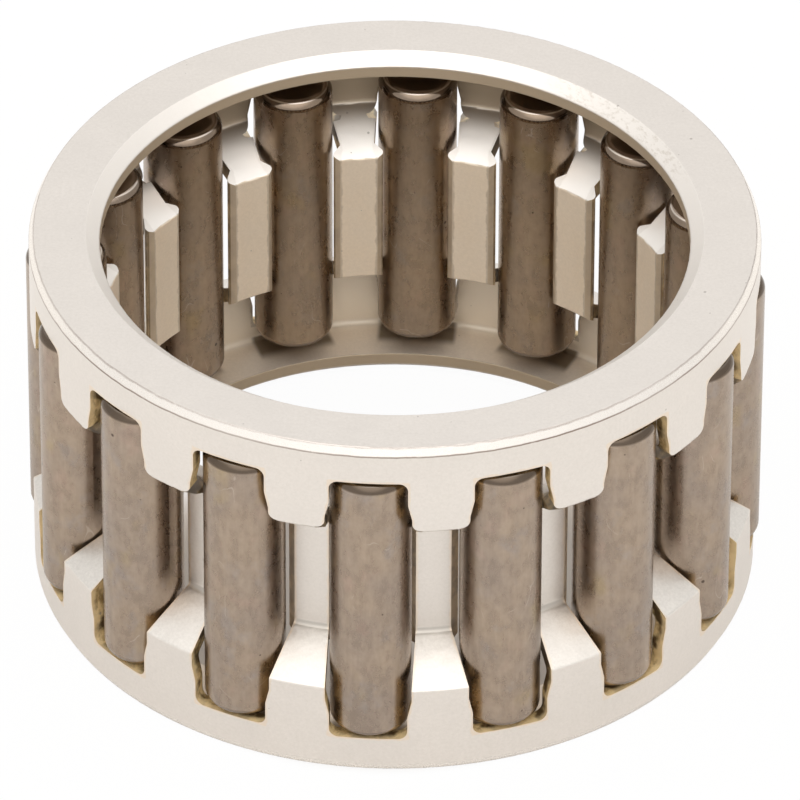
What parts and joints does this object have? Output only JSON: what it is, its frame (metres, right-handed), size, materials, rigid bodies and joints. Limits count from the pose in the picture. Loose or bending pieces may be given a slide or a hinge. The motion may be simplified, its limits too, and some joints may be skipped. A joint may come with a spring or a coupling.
{
  "type": "needle roller bearing",
  "caption": "Open needle roller and cage bearing: a one-piece silver steel cage of M-shaped section with a ring of loose steel needle rollers in its pockets.",
  "frame": {"origin": "on the bearing axis, in the plane of the lower end face of the cage", "axes": "+Z along the bearing axis, from the lower end face to the upper one; the first roller lies on the -Y side"},
  "size_m": [0.032, 0.032, 0.0173],
  "materials": {
    "cage_plating": "satin silver plating over steel",
    "roller_steel": "ground and lapped through-hardened bearing steel with a grey-brown heat tint"
  },
  "bodies": {
    "cage": {"cage": "cage_plating"},
    "roller_01": {"needle_roller_01": "roller_steel"},
    "roller_02": {"needle_roller_02": "roller_steel"},
    "roller_03": {"needle_roller_03": "roller_steel"},
    "roller_04": {"needle_roller_04": "roller_steel"},
    "roller_05": {"needle_roller_05": "roller_steel"},
    "roller_06": {"needle_roller_06": "roller_steel"},
    "roller_07": {"needle_roller_07": "roller_steel"},
    "roller_08": {"needle_roller_08": "roller_steel"},
    "roller_09": {"needle_roller_09": "roller_steel"},
    "roller_10": {"needle_roller_10": "roller_steel"},
    "roller_11": {"needle_roller_11": "roller_steel"},
    "roller_12": {"needle_roller_12": "roller_steel"},
    "roller_13": {"needle_roller_13": "roller_steel"},
    "roller_14": {"needle_roller_14": "roller_steel"},
    "roller_15": {"needle_roller_15": "roller_steel"},
    "roller_16": {"needle_roller_16": "roller_steel"}
  },
  "joints": [
    {"name": "roller_01_spin", "type": "hinge", "parent": "cage", "child": "roller_01", "pos_m": [0, -0.01425, 0.00865], "axis": [0, 0, 1], "continuous": true},
    {"name": "roller_02_spin", "type": "hinge", "parent": "cage", "child": "roller_02", "pos_m": [0.00545, -0.01317, 0.00865], "axis": [0, 0, 1], "continuous": true},
    {"name": "roller_03_spin", "type": "hinge", "parent": "cage", "child": "roller_03", "pos_m": [0.01008, -0.01008, 0.00865], "axis": [0, 0, 1], "continuous": true},
    {"name": "roller_04_spin", "type": "hinge", "parent": "cage", "child": "roller_04", "pos_m": [0.01317, -0.00545, 0.00865], "axis": [0, 0, 1], "continuous": true},
    {"name": "roller_05_spin", "type": "hinge", "parent": "cage", "child": "roller_05", "pos_m": [0.01425, 0, 0.00865], "axis": [0, 0, 1], "continuous": true},
    {"name": "roller_06_spin", "type": "hinge", "parent": "cage", "child": "roller_06", "pos_m": [0.01317, 0.00545, 0.00865], "axis": [0, 0, 1], "continuous": true},
    {"name": "roller_07_spin", "type": "hinge", "parent": "cage", "child": "roller_07", "pos_m": [0.01008, 0.01008, 0.00865], "axis": [0, 0, 1], "continuous": true},
    {"name": "roller_08_spin", "type": "hinge", "parent": "cage", "child": "roller_08", "pos_m": [0.00545, 0.01317, 0.00865], "axis": [0, 0, 1], "continuous": true},
    {"name": "roller_09_spin", "type": "hinge", "parent": "cage", "child": "roller_09", "pos_m": [0, 0.01425, 0.00865], "axis": [0, 0, 1], "continuous": true},
    {"name": "roller_10_spin", "type": "hinge", "parent": "cage", "child": "roller_10", "pos_m": [-0.00545, 0.01317, 0.00865], "axis": [0, 0, 1], "continuous": true},
    {"name": "roller_11_spin", "type": "hinge", "parent": "cage", "child": "roller_11", "pos_m": [-0.01008, 0.01008, 0.00865], "axis": [0, 0, 1], "continuous": true},
    {"name": "roller_12_spin", "type": "hinge", "parent": "cage", "child": "roller_12", "pos_m": [-0.01317, 0.00545, 0.00865], "axis": [0, 0, 1], "continuous": true},
    {"name": "roller_13_spin", "type": "hinge", "parent": "cage", "child": "roller_13", "pos_m": [-0.01425, 0, 0.00865], "axis": [0, 0, 1], "continuous": true},
    {"name": "roller_14_spin", "type": "hinge", "parent": "cage", "child": "roller_14", "pos_m": [-0.01317, -0.00545, 0.00865], "axis": [0, 0, 1], "continuous": true},
    {"name": "roller_15_spin", "type": "hinge", "parent": "cage", "child": "roller_15", "pos_m": [-0.01008, -0.01008, 0.00865], "axis": [0, 0, 1], "continuous": true},
    {"name": "roller_16_spin", "type": "hinge", "parent": "cage", "child": "roller_16", "pos_m": [-0.00545, -0.01317, 0.00865], "axis": [0, 0, 1], "continuous": true}
  ]
}
